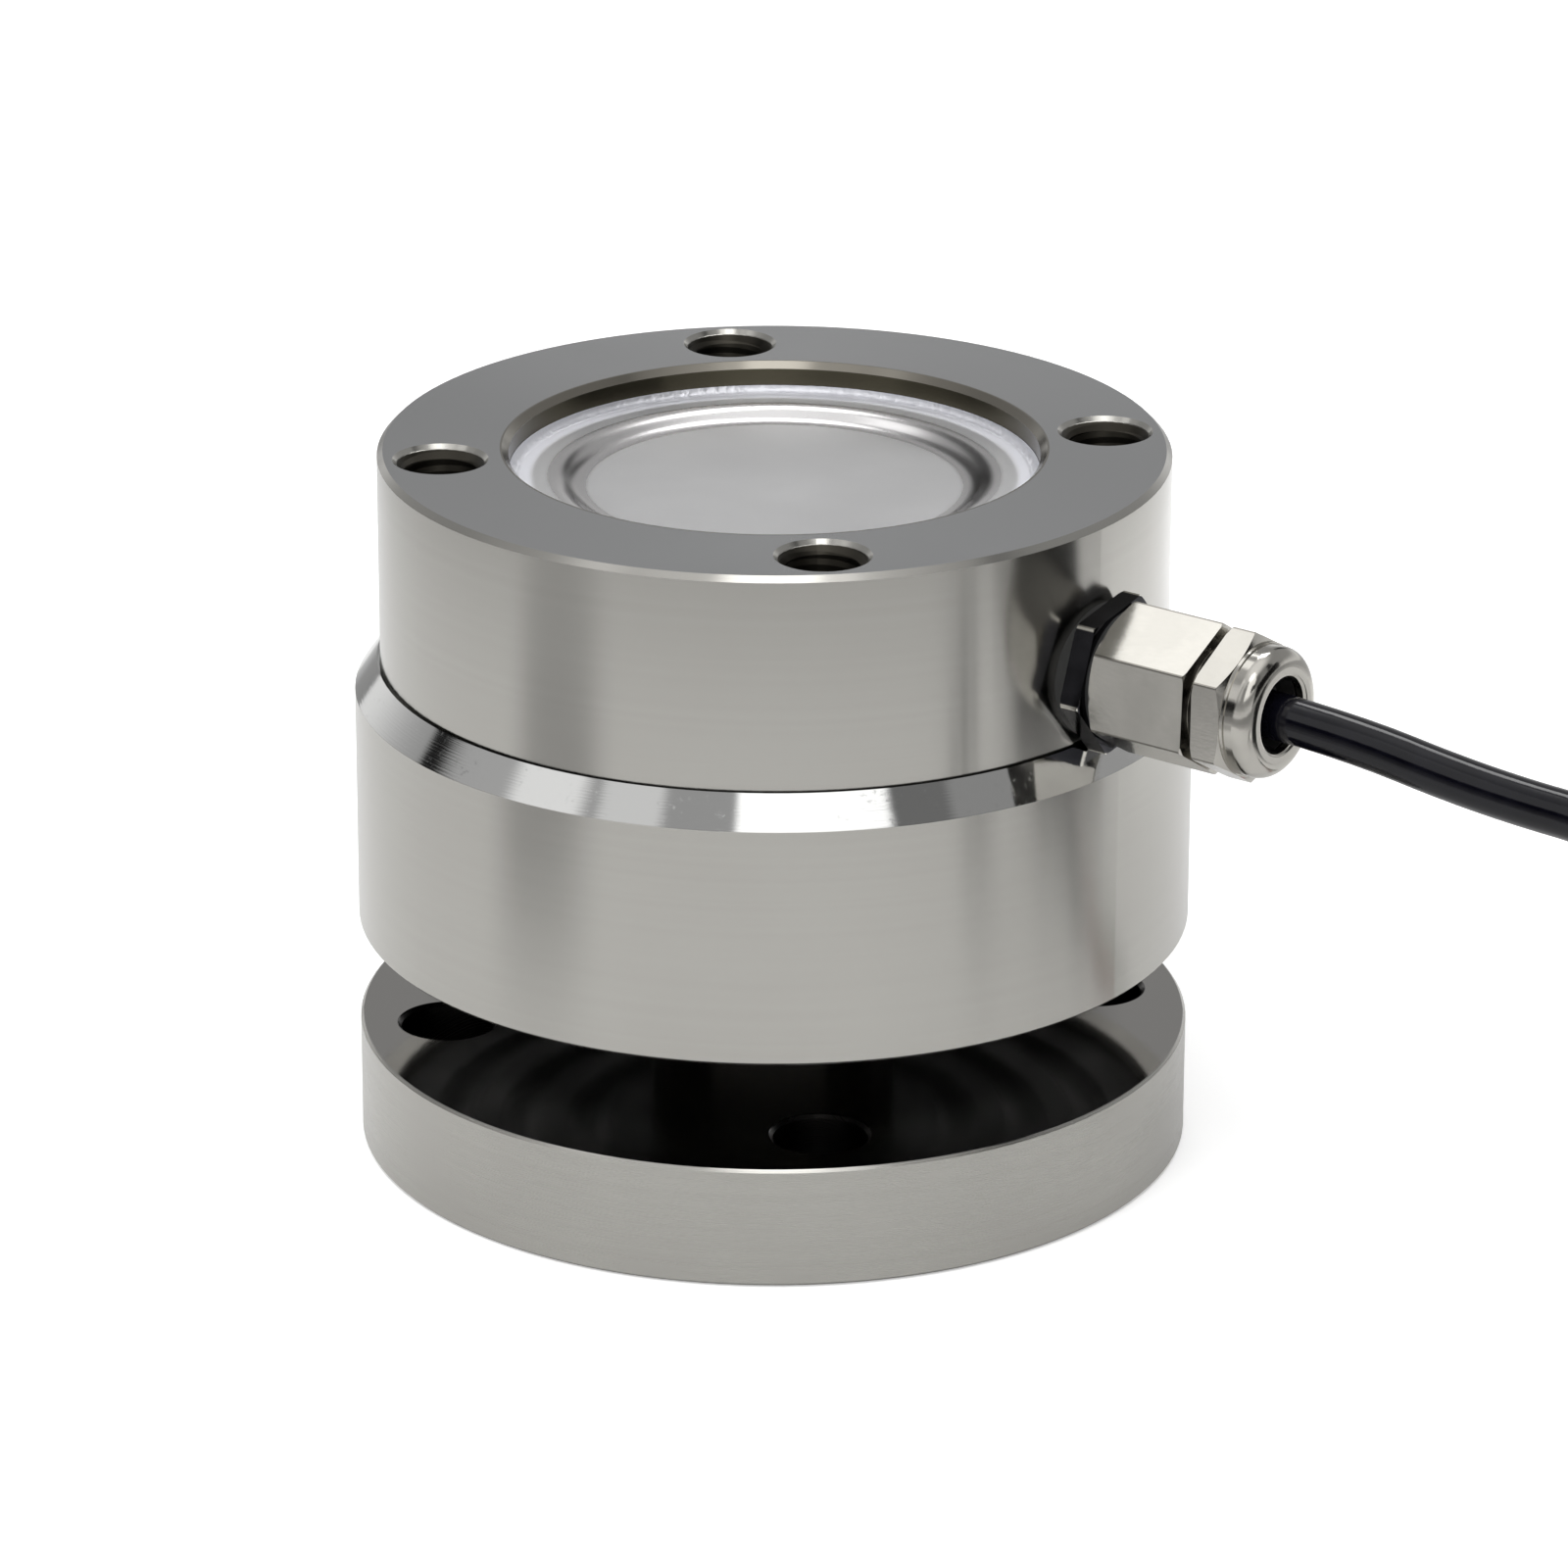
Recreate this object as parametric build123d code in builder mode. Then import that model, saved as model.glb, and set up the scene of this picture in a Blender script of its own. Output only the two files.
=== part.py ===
from build123d import *

import math
import os

# Column load cell with a bolt flange on top and a bolted base plate.
# Millimetres. Z is up, the origin is the centre of the base plate's underside,
# and the cable gland points along +X.

os.makedirs("parts", exist_ok=True)

# Fits between turned pieces, and how closely an edge is matched to its size
fit_clearance = 0.05
thread_clearance = 0.05
edge_match = 0.01

# Neck: the bolt flange at the top of the column body
neck_diameter = 109.0
neck_height = 30.0
neck_skirt = 10.0
neck_chamfer = 0.8
rim_width = 18.0
recess_chamfer = 0.9
cover_depth = 4.2
cover_thickness = 1.0
cover_seat = 5.0

# Bolt holes, the same circle in the flange and in the base plate
bolt_count = 4
bolt_angle = 45.0
bolt_edge = 8.5
flange_hole_radius = 5.1
flange_hole_depth = 24.0
flange_hole_sink = 1.5
base_hole_radius = 6.5
base_hole_sink = 0.5

# Housing sleeve
housing_wall = 3.5
housing_height = 37.8
housing_chamfer_height = 4.4
housing_edge = 0.4
seam_width = 0.45
seam_depth = 0.8

# Base plate and the open gap above it
base_thickness = 17.0
base_chamfer = 0.4
float_gap = 15.2

# Measuring column and its foot
column_radius = 14.0
column_root_fillet = 5.0
flat_depth = 2.0
flat_length = 11.0
foot_step = 3.0
foot_depth = 4.0
foot_chamfer = 0.6
foot_fillet = 2.0
foot_rise = 1.0

# Screws from the base plate into the foot
screw_count = 4
screw_edge = 6.0
screw_radius = 3.0
screw_hole_slack = 0.3
screw_length = 20.0
screw_head_radius = 5.0
screw_head_height = 6.0
screw_head_slack = 0.5
screw_head_sink = 0.4
screw_socket = 5.0
screw_socket_depth = 3.0
tapping_spare = 2.5

# Thin plate that closes the housing round the foot
diaphragm_thickness = 0.8
diaphragm_recess = 2.0
diaphragm_rim = 3.0
corrugation_count = 3
corrugation_width = 6.0
corrugation_height = 1.6

# Cover over the flange's cavity
cover_ring = 4.55
dish_width = 5.0
dish_depth = 1.5
weld_leg = 0.9

# Gland, measured outwards from the neck
gland_rise = 9.5
thread_radius = 8.0
thread_engagement = 12.0
wire_bore_radius = 4.5
seal_section = 1.2
seal_least = 0.7
nut_flats = 19.0
nut_thickness = 3.0
nut_turn = 10.0
nut_bevel = 0.3
nut_clearance = 0.2
gasket_thickness = 0.6
gasket_width = 1.1
hexagon_flats = 18.4
hexagon_turn = 27.4
hexagon_length = 14.9
corner_bevel = 0.9
bevel_slope = 0.75
thread_chamfer = 0.6
thread_gap = 1.5
cap_turn = 29.6
cap_hexagon_length = 4.4
cap_collar_radius = 9.15
cap_collar_length = 0.5
cap_nose_length = 3.7
cap_nose_radius = 8.95
cap_nose_rounding = 2.4
cap_hole_radius = 5.2
cap_hole_rounding = 0.5
cap_lip = 1.3
cap_end_play = 0.4
spigot_radius = 7.8
spigot_length = 7.0
spigot_wall = 1.5
cable_clearance = 0.75
cage_wall = 1.1
cage_length = 12.4
cage_tip_length = 1.3
cage_tip_drop = 0.85
cage_slack = 0.3
cage_slot = 1.0
cage_slot_count = 8
cage_slot_length = 7.5
insert_length = 10.0
insert_chamfer = 0.6

# Cavity under the cover, and what it holds
cavity_drop = 9.0
spacer_height = 3.0
spacer_radius = 2.5
board_margin = 4.5
board_thickness = 1.6
board_screw_circle_margin = 5.0
board_screw_count = 3
board_screw_angle = 45.0
board_screw_radius = 1.25
board_screw_length = 8.0
board_head_radius = 2.3
board_head_height = 1.6
resistor_count = 6
resistor_length = 3.2
resistor_width = 1.6
resistor_height = 0.9
resistor_circle = 11.0
resistor_angle = 30.0

# Strain gauges and their leads
gauge_count = 4
gauge_width = 7.0
gauge_height = 5.6
gauge_thickness = 0.15
terminal_width = 6.0
terminal_height = 2.4
terminal_thickness = 0.4
lead_radius = 0.5
lead_circle_margin = 8.5
lead_setback = 2.5
lead_rise = 9.0
duct_radius = 1.5
lead_stub = 0.6

# Cable
cable_radius = 3.25
core_radius = 0.65
core_pitch_radius = 1.45
core_rise = 0.9
core_landing = 3.0
core_step = 2.0
run_share = 0.45

# The cable's route, chosen by hand, from inside the gland to the coil
cable_points = [
    (66.0, 0.0, 79.5),
    (91.0, 0.0, 79.5),
    (116.0, 0.0, 76.0),
    (140.0, 0.0, 75.5),
    (165.0, -5.5, 58.8),
    (178.0, -16.0, 24.0),
    (203.0, -25.9, 4.75),
    (232.0, -25.9, 4.75),
]

# The tail, from the coil's top turn down to the ground
tail_points = [
    (232.0, 61.9, 24.25),
    (212.0, 61.9, 24.25),
    (192.5, 63.0, 14.5),
    (173.0, 64.0, 5.2),
    (153.5, 66.0, 3.85),
]

# Coil of the put-away length
coil_centre = (258.0, 18.0)
coil_mean_radius = 37.4
coil_turns_wide = 3
coil_turns_high = 4
coil_slack = 0.3
coil_lead = 26.0
tie_thickness = 1.2
tie_width = 3.6
tie_angles = (40.0, 220.0)
tie_head_depth = 3.2
tie_head_width = 5.6
tie_head_height = 5.0

# Sleeve and leads at the cable's free end
sleeve_wall = 0.5
sleeve_overlap = 8.0
sleeve_step = 1.0
sleeve_taper = 5.0
sleeve_nose = 5.0
sleeve_nose_radius = 2.75
lead_names = ("core_red", "core_black", "core_green", "core_white", "shield_drain")
lead_start_angles = (-108.0, -36.0, 36.0, 108.0, 180.0)
lead_spread = (-1.8, 9.4, 5.8, 2.2, -5.4)
lead_runs = (17.5, 16.0, 18.0)
lead_fan = (0.7, 1.3)
lead_heights = (1.4, 0.75)
tinned_length = 6.0
tinned_radius = 0.42

# Levels and radii worked out from the sizes above
neck_radius = neck_diameter / 2
housing_radius = neck_radius + housing_wall
housing_bore = neck_radius + fit_clearance
bolt_circle = neck_radius - bolt_edge
recess_radius = neck_radius - rim_width
cavity_radius = recess_radius - cover_seat
housing_bottom_z = base_thickness + float_gap
shoulder_z = housing_bottom_z + housing_height
top_z = shoulder_z + neck_height
skirt_z = shoulder_z - neck_skirt
cover_top_z = top_z - cover_depth
cover_seat_z = cover_top_z - cover_thickness
gland_z = shoulder_z + gland_rise
cavity_floor_z = gland_z - cavity_drop
foot_z = base_thickness - foot_depth
diaphragm_z = housing_bottom_z + diaphragm_recess
foot_top_z = diaphragm_z + diaphragm_rim + foot_rise
foot_radius = column_radius + foot_step
flat_radius = column_radius - flat_depth
gauge_z = (foot_top_z + foot_fillet + skirt_z - column_root_fillet) / 2
screw_circle = foot_radius - screw_edge
board_z = cavity_floor_z + spacer_height
board_top_z = board_z + board_thickness
board_radius = cavity_radius - board_margin
board_screw_circle = board_radius - board_screw_circle_margin
lead_circle = cavity_radius - lead_circle_margin

# Gland stations along X
nut_corner = nut_flats / 2 / math.cos(math.radians(30))


def housing_radius_at(height):
    """Outside radius of the housing, chamfer included, at a height."""
    below = shoulder_z - height
    if below <= 0:
        return neck_radius
    land = neck_radius + seam_width
    slope = (housing_radius - land) / housing_chamfer_height
    return min(housing_radius, land + slope * below)


def nut_seat():
    """Where the lock nut's inner face clears the neck and the housing's chamfer."""
    seat = neck_radius + seal_least
    for corner in range(6):
        angle = math.radians(nut_turn + 60 * corner)
        side = nut_corner * math.cos(angle)
        height = gland_z + nut_corner * math.sin(angle)
        outside = math.sqrt(housing_radius_at(height) ** 2 - side**2)
        seat = max(seat, outside + nut_clearance)
    return seat


nut_x = nut_seat()
gasket_x = nut_x + nut_thickness
hexagon_x = gasket_x + gasket_thickness
hexagon_end_x = hexagon_x + hexagon_length
spigot_end_x = hexagon_end_x + spigot_length
cap_x = hexagon_end_x + thread_gap
collar_x = cap_x + cap_hexagon_length
nose_x = collar_x + cap_collar_length
cap_end_x = nose_x + cap_nose_length
thread_end_x = neck_radius - thread_engagement
wall_thread_radius = thread_radius - thread_clearance
cap_bore = spigot_radius + thread_clearance
spigot_bore = spigot_radius - spigot_wall
cage_radius = spigot_bore - fit_clearance
cage_bore = cage_radius - cage_wall
cage_x = cap_end_x - cap_lip - cap_end_play - cage_length
cable_bore = cable_radius + cable_clearance

# Planes and axes of the gland, and rings picked by their radius and height
gland_axis = Axis((0, 0, gland_z), (1, 0, 0))
gland_profile = Plane(origin=(0, 0, gland_z), x_dir=(1, 0, 0), z_dir=(0, -1, 0))


def gland_plane(station):
    """Plane across the gland at a station along X, with its own X along the row's Y."""
    return Plane(origin=(station, 0, gland_z), x_dir=(0, 1, 0), z_dir=(1, 0, 0))


def rings(part, radius, height):
    """Circular edges about Z with this radius at this height."""
    circles = part.edges().filter_by(GeomType.CIRCLE)
    return circles.filter_by(
        lambda edge: abs(edge.radius - radius) < edge_match
        and abs(edge.arc_center.Z - height) < edge_match
    )


def corner_radii(points):
    """Radius of each corner's arc: as large as the two runs beside it allow."""
    corners = [Vector(*point) for point in points]
    radii = []
    for before, here, after in zip(corners, corners[1:], corners[2:]):
        turn = (here - before).get_angle(after - here)
        shorter = min((here - before).length, (after - here).length)
        radii.append(run_share * shorter / math.tan(math.radians(turn / 2)))
    return radii


def round_tube(points, radius, corner=None):
    """Round rod along straight runs joined by tangent arcs."""
    with BuildPart() as tube:
        with BuildLine() as route:
            FilletPolyline(*points, radius=corner or corner_radii(points))
        with BuildSketch(Plane(origin=route.line @ 0, z_dir=route.line % 0)):
            Circle(radius)
        sweep(path=route.line)
    return tube


# Base plate: bolt holes, the foot's pocket on top, screw heads let into the underside
with BuildPart() as base_plate:
    with BuildSketch():
        Circle(housing_radius)
    extrude(amount=base_thickness)
    outer_edges = base_plate.edges().filter_by(GeomType.CIRCLE)
    chamfer(outer_edges, base_chamfer)
    with BuildSketch(Plane.XY.offset(foot_z)):
        Circle(foot_radius + fit_clearance)
    extrude(amount=foot_depth, mode=Mode.SUBTRACT)
    with Locations(Plane.XY.offset(base_thickness)):
        with PolarLocations(bolt_circle, bolt_count, start_angle=bolt_angle):
            CounterSinkHole(base_hole_radius, base_hole_radius + base_hole_sink)
    with Locations(Plane.XY.rotated((180, 0, 0))):
        with PolarLocations(screw_circle, screw_count, start_angle=bolt_angle):
            CounterBoreHole(
                radius=screw_radius + screw_hole_slack,
                counter_bore_radius=screw_head_radius + screw_head_slack,
                counter_bore_depth=screw_head_height + screw_head_sink,
            )
base_plate.part.label = "base_plate"
export_step(base_plate.part, "parts/base_plate.step")

# Column body: flange, web, column and foot turned from one bar
with BuildPart() as column_body:
    with BuildSketch(Plane.XZ):
        with BuildLine():
            Polyline(
                (0, foot_z),
                (foot_radius, foot_z),
                (foot_radius, foot_top_z),
                (column_radius, foot_top_z),
                (column_radius, skirt_z),
                (neck_radius, skirt_z),
                (neck_radius, top_z),
                (recess_radius, top_z),
                (recess_radius, cover_seat_z),
                (cavity_radius, cover_seat_z),
                (cavity_radius, cavity_floor_z),
                (0, cavity_floor_z),
                close=True,
            )
        make_face()
    revolve(axis=Axis.Z)
    chamfer(rings(column_body, neck_radius, top_z), neck_chamfer)
    chamfer(rings(column_body, recess_radius, top_z), recess_chamfer)
    chamfer(rings(column_body, foot_radius, foot_z), foot_chamfer)
    chamfer(rings(column_body, foot_radius, foot_top_z), foot_chamfer)
    fillet(rings(column_body, column_radius, foot_top_z), foot_fillet)
    fillet(rings(column_body, column_radius, skirt_z), column_root_fillet)
    # Four flats for the gauges
    with BuildSketch(Plane.XY.offset(gauge_z)):
        with PolarLocations(flat_radius + column_radius / 2, gauge_count):
            Rectangle(column_radius, 2 * column_radius)
    extrude(amount=flat_length / 2, both=True, mode=Mode.SUBTRACT)
    # Tapped holes in the flange
    with Locations(Plane.XY.offset(top_z)):
        with PolarLocations(bolt_circle, bolt_count, start_angle=bolt_angle):
            CounterSinkHole(
                flange_hole_radius,
                flange_hole_radius + flange_hole_sink,
                depth=flange_hole_depth,
            )
    # Tapped holes in the foot
    with BuildSketch(Plane.XY.offset(foot_z)):
        with PolarLocations(screw_circle, screw_count, start_angle=bolt_angle):
            Circle(screw_radius)
    screw_reach = screw_head_height + screw_head_sink + screw_length - foot_z
    extrude(amount=screw_reach + tapping_spare, mode=Mode.SUBTRACT)
    # Gland bore, then a smaller bore for the cores into the cavity
    with BuildSketch(gland_plane(thread_end_x - thread_clearance)):
        Circle(thread_radius)
    extrude(amount=neck_radius, mode=Mode.SUBTRACT)
    with BuildSketch(gland_plane(board_radius)):
        Circle(wire_bore_radius)
    extrude(amount=thread_end_x - board_radius, mode=Mode.SUBTRACT)
    # Ducts for the gauge leads, and tapped holes for the board
    with Locations(Plane.XY.offset(cavity_floor_z)):
        with PolarLocations(lead_circle, gauge_count):
            Hole(duct_radius, depth=cavity_floor_z - skirt_z)
        with PolarLocations(board_screw_circle, board_screw_count, start_angle=board_screw_angle):
            Hole(board_screw_radius + thread_clearance, depth=board_screw_length - spacer_height)
column_body.part.label = "column_body"
export_step(column_body.part, "parts/column_body.step")

# Outer housing: a sleeve with a wide chamfer and a small groove where it meets the neck
with BuildPart() as outer_housing:
    with BuildSketch(Plane.XZ):
        with BuildLine():
            Polyline(
                (housing_bore, housing_bottom_z),
                (housing_radius, housing_bottom_z),
                (housing_radius, shoulder_z - housing_chamfer_height),
                (neck_radius + seam_width, shoulder_z),
                (neck_radius + seam_width, shoulder_z - seam_depth),
                (housing_bore, shoulder_z - seam_depth),
                close=True,
            )
        make_face()
    revolve(axis=Axis.Z)
    chamfer(rings(outer_housing, housing_radius, housing_bottom_z), housing_edge)
outer_housing.part.label = "outer_housing"
export_step(outer_housing.part, "parts/outer_housing.step")

# Top cover: a flat ring, an S-shaped step and a dished centre, welded at its edge
bend_radius = (dish_width**2 + dish_depth**2) / (4 * dish_depth)
bend_angle = math.degrees(math.asin(dish_width / 2 / bend_radius))
dish_z = cover_top_z - dish_depth
cover_edge = recess_radius - fit_clearance
dish_radius = cover_edge - weld_leg - cover_ring - dish_width
with BuildPart() as top_cover:
    with BuildSketch(Plane.XZ):
        with BuildLine():
            upper_flat = Line((0, dish_z), (dish_radius, dish_z))
            upper_rise = JernArc(upper_flat @ 1, (1, 0), bend_radius, bend_angle)
            upper_level = JernArc(upper_rise @ 1, upper_rise % 1, bend_radius, -bend_angle)
            ring_top = Line(upper_level @ 1, (cover_edge - weld_leg, cover_top_z))
            weld = RadiusArc(ring_top @ 1, (cover_edge, cover_top_z + weld_leg), -weld_leg)
            edge = Line(weld @ 1, (cover_edge, cover_seat_z))
            lower_flat = Line((0, dish_z - cover_thickness), (dish_radius, dish_z - cover_thickness))
            lower_rise = JernArc(
                lower_flat @ 1, (1, 0), bend_radius + cover_thickness, bend_angle
            )
            lower_level = JernArc(
                lower_rise @ 1, lower_rise % 1, bend_radius - cover_thickness, -bend_angle
            )
            Line(lower_level @ 1, edge @ 1)
            Line(upper_flat @ 0, lower_flat @ 0)
        make_face()
    revolve(axis=Axis.Z)
top_cover.part.label = "top_cover"
export_step(top_cover.part, "parts/top_cover.step")

# Bottom diaphragm: a thin ring plate with round corrugations and two turned-up rims
plate_top_z = diaphragm_z + diaphragm_thickness
rim_top_z = diaphragm_z + diaphragm_rim
inner_rim = foot_radius + fit_clearance
corrugation_pitch = (neck_radius - inner_rim) / (corrugation_count + 1)
with BuildPart() as bottom_diaphragm:
    with BuildSketch(Plane.XZ):
        with BuildLine():
            under = [(inner_rim, diaphragm_z)]
            over = [(inner_rim + diaphragm_thickness, plate_top_z)]
            for fold in range(corrugation_count):
                middle = inner_rim + corrugation_pitch * (fold + 1)
                half = corrugation_width / 2
                crest = diaphragm_z + corrugation_height
                Line(under[-1], (middle - half, diaphragm_z))
                ThreePointArc(
                    (middle - half, diaphragm_z), (middle, crest), (middle + half, diaphragm_z)
                )
                under.append((middle + half, diaphragm_z))
                wide = half + diaphragm_thickness / 2
                Line(over[-1], (middle - wide, plate_top_z))
                ThreePointArc(
                    (middle - wide, plate_top_z),
                    (middle, crest + diaphragm_thickness),
                    (middle + wide, plate_top_z),
                )
                over.append((middle + wide, plate_top_z))
            Polyline(under[-1], (neck_radius, diaphragm_z), (neck_radius, rim_top_z))
            Polyline(
                over[-1],
                (neck_radius - diaphragm_thickness, plate_top_z),
                (neck_radius - diaphragm_thickness, rim_top_z),
                (neck_radius, rim_top_z),
            )
            Polyline(
                over[0],
                (inner_rim + diaphragm_thickness, rim_top_z),
                (inner_rim, rim_top_z),
                under[0],
            )
        make_face()
    revolve(axis=Axis.Z)
bottom_diaphragm.part.label = "bottom_diaphragm"
export_step(bottom_diaphragm.part, "parts/bottom_diaphragm.step")

# Foot screws: socket heads let into the base plate's underside
head_z = screw_head_sink
with BuildPart() as foot_screws:
    with BuildSketch(Plane.XY.offset(head_z)):
        with PolarLocations(screw_circle, screw_count, start_angle=bolt_angle):
            Circle(screw_head_radius)
    extrude(amount=screw_head_height)
    chamfer(foot_screws.edges().group_by(Axis.Z)[0], base_chamfer)
    with BuildSketch(Plane.XY.offset(head_z + screw_head_height)):
        with PolarLocations(screw_circle, screw_count, start_angle=bolt_angle):
            Circle(screw_radius - thread_clearance)
    extrude(amount=screw_length)
    chamfer(foot_screws.edges().group_by(Axis.Z)[-1], base_chamfer)
    with BuildSketch(Plane.XY.offset(head_z)):
        with PolarLocations(screw_circle, screw_count, start_angle=bolt_angle):
            RegularPolygon(screw_socket / 2, 6, major_radius=False)
    extrude(amount=screw_socket_depth, mode=Mode.SUBTRACT)
foot_screws.part.label = "foot_screws"
export_step(foot_screws.part, "parts/foot_screws.step")

# Strain gauges and solder terminals on the four flats
gauge_low_z = gauge_z + flat_length / 2 - gauge_height
terminal_low_z = gauge_z - flat_length / 2
with BuildPart() as strain_gauges:
    with BuildSketch(Plane.XY.offset(gauge_low_z)):
        with PolarLocations(flat_radius + gauge_thickness / 2, gauge_count):
            Rectangle(gauge_thickness, gauge_width)
    extrude(amount=gauge_height)
strain_gauges.part.label = "strain_gauges"
export_step(strain_gauges.part, "parts/strain_gauges.step")

with BuildPart() as gauge_terminals:
    with BuildSketch(Plane.XY.offset(terminal_low_z)):
        with PolarLocations(flat_radius + terminal_thickness / 2, gauge_count):
            Rectangle(terminal_thickness, terminal_width)
    extrude(amount=terminal_height)
gauge_terminals.part.label = "gauge_terminals"
export_step(gauge_terminals.part, "parts/gauge_terminals.step")

# Gauge leads: out from each terminal, up through the web and through the board
lead_z = terminal_low_z + terminal_height / 2
lead_route = [
    (flat_radius + terminal_thickness, 0, lead_z),
    (lead_circle - lead_setback, 0, lead_z),
    (lead_circle, 0, lead_z + lead_rise),
    (lead_circle, 0, board_top_z + lead_stub),
]
with BuildPart() as gauge_leads:
    lead = round_tube(lead_route, lead_radius)
    with PolarLocations(0, gauge_count):
        add(lead.part)
gauge_leads.part.label = "gauge_leads"
export_step(gauge_leads.part, "parts/gauge_leads.step")

# Bridge board on three spacers, with its screws and trimming resistors
with BuildPart() as circuit_board:
    with BuildSketch(Plane.XY.offset(board_z)):
        Circle(board_radius)
        with PolarLocations(lead_circle, gauge_count):
            Circle(lead_radius + fit_clearance, mode=Mode.SUBTRACT)
        with PolarLocations(board_screw_circle, board_screw_count, start_angle=board_screw_angle):
            Circle(board_screw_radius + screw_hole_slack, mode=Mode.SUBTRACT)
    extrude(amount=board_thickness)
circuit_board.part.label = "circuit_board"
export_step(circuit_board.part, "parts/circuit_board.step")

with BuildPart() as board_spacers:
    with BuildSketch(Plane.XY.offset(cavity_floor_z)):
        with PolarLocations(board_screw_circle, board_screw_count, start_angle=board_screw_angle):
            Circle(spacer_radius)
            Circle(board_screw_radius + screw_hole_slack, mode=Mode.SUBTRACT)
    extrude(amount=spacer_height)
board_spacers.part.label = "board_spacers"
export_step(board_spacers.part, "parts/board_spacers.step")

screw_tip_z = board_top_z - board_screw_length
with BuildPart() as board_screws:
    with BuildSketch(Plane.XY.offset(board_top_z)):
        with PolarLocations(board_screw_circle, board_screw_count, start_angle=board_screw_angle):
            Circle(board_head_radius)
    extrude(amount=board_head_height)
    with BuildSketch(Plane.XY.offset(screw_tip_z)):
        with PolarLocations(board_screw_circle, board_screw_count, start_angle=board_screw_angle):
            Circle(board_screw_radius)
    extrude(amount=board_screw_length)
board_screws.part.label = "board_screws"
export_step(board_screws.part, "parts/board_screws.step")

with BuildPart() as trim_resistors:
    with BuildSketch(Plane.XY.offset(board_top_z)):
        with PolarLocations(resistor_circle, resistor_count, start_angle=resistor_angle):
            Rectangle(resistor_width, resistor_length)
    extrude(amount=resistor_height)
trim_resistors.part.label = "trim_resistors"
export_step(trim_resistors.part, "parts/trim_resistors.step")

# Rubber ring between neck and lock nut, shaped to the neck's round wall
with BuildPart() as gland_wall_seal:
    with BuildSketch(gland_plane(neck_radius - 2 * seal_section)):
        Circle(thread_radius + seal_section)
        Circle(thread_radius, mode=Mode.SUBTRACT)
    extrude(amount=nut_x - neck_radius + 2 * seal_section)
    with BuildSketch(Plane.XY.offset(shoulder_z)):
        Circle(neck_radius)
    extrude(amount=neck_height, mode=Mode.SUBTRACT)
gland_wall_seal.part.label = "gland_wall_seal"
export_step(gland_wall_seal.part, "parts/gland_wall_seal.step")


def bevel_profile(station, length, flats, start, end):
    """Half section of a disc whose two rims are bevelled, to take the corners off a hexagon."""
    corner = flats / 2 / math.cos(math.radians(30)) + fit_clearance
    drop = corner - flats / 2
    with BuildSketch(gland_profile) as half_section:
        with BuildLine():
            Polyline(
                (station, 0),
                (station, corner - drop * start / corner_bevel),
                (station + start * bevel_slope, corner),
                (station + length - end * bevel_slope, corner),
                (station + length, corner - drop * end / corner_bevel),
                (station + length, 0),
                close=True,
            )
        make_face()
    return half_section


# Lock nut: thin hexagon, both rims bevelled
with BuildPart() as gland_lock_nut:
    with BuildSketch(gland_plane(nut_x)):
        RegularPolygon(nut_flats / 2, 6, major_radius=False, rotation=nut_turn)
    extrude(amount=nut_thickness)
    disc = bevel_profile(nut_x, nut_thickness, nut_flats, nut_bevel, nut_bevel)
    revolve(disc.sketch, axis=gland_axis, mode=Mode.INTERSECT)
    with BuildSketch(gland_plane(nut_x)):
        Circle(thread_radius)
    extrude(amount=nut_thickness, mode=Mode.SUBTRACT)
gland_lock_nut.part.label = "gland_lock_nut"
export_step(gland_lock_nut.part, "parts/gland_lock_nut.step")

with BuildPart() as gland_gasket:
    with BuildSketch(gland_plane(gasket_x)):
        Circle(thread_radius + gasket_width)
        Circle(thread_radius, mode=Mode.SUBTRACT)
    extrude(amount=gasket_thickness)
gland_gasket.part.label = "gland_gasket"
export_step(gland_gasket.part, "parts/gland_gasket.step")

# Gland body: wall thread, long hexagon, cap thread, bored through for the cable
with BuildPart() as gland_body:
    with BuildSketch(gland_plane(hexagon_x)):
        RegularPolygon(hexagon_flats / 2, 6, major_radius=False, rotation=hexagon_turn)
    extrude(amount=hexagon_length)
    disc = bevel_profile(hexagon_x, hexagon_length, hexagon_flats, corner_bevel, corner_bevel / 3)
    revolve(disc.sketch, axis=gland_axis, mode=Mode.INTERSECT)
    with BuildSketch(gland_profile):
        with BuildLine():
            Polyline(
                (thread_end_x, 0),
                (thread_end_x, wall_thread_radius - thread_chamfer),
                (thread_end_x + thread_chamfer, wall_thread_radius),
                (hexagon_x, wall_thread_radius),
                (hexagon_x, spigot_radius),
                (spigot_end_x - thread_chamfer, spigot_radius),
                (spigot_end_x, spigot_radius - thread_chamfer),
                (spigot_end_x, 0),
                close=True,
            )
        make_face()
    revolve(axis=gland_axis)
    with BuildSketch(gland_plane(thread_end_x)):
        Circle(cable_bore)
    extrude(amount=spigot_end_x - thread_end_x, mode=Mode.SUBTRACT)
    with BuildSketch(gland_plane(cage_x)):
        Circle(spigot_bore)
    extrude(amount=spigot_end_x - cage_x, mode=Mode.SUBTRACT)
gland_body.part.label = "gland_body"
export_step(gland_body.part, "parts/gland_body.step")

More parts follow.
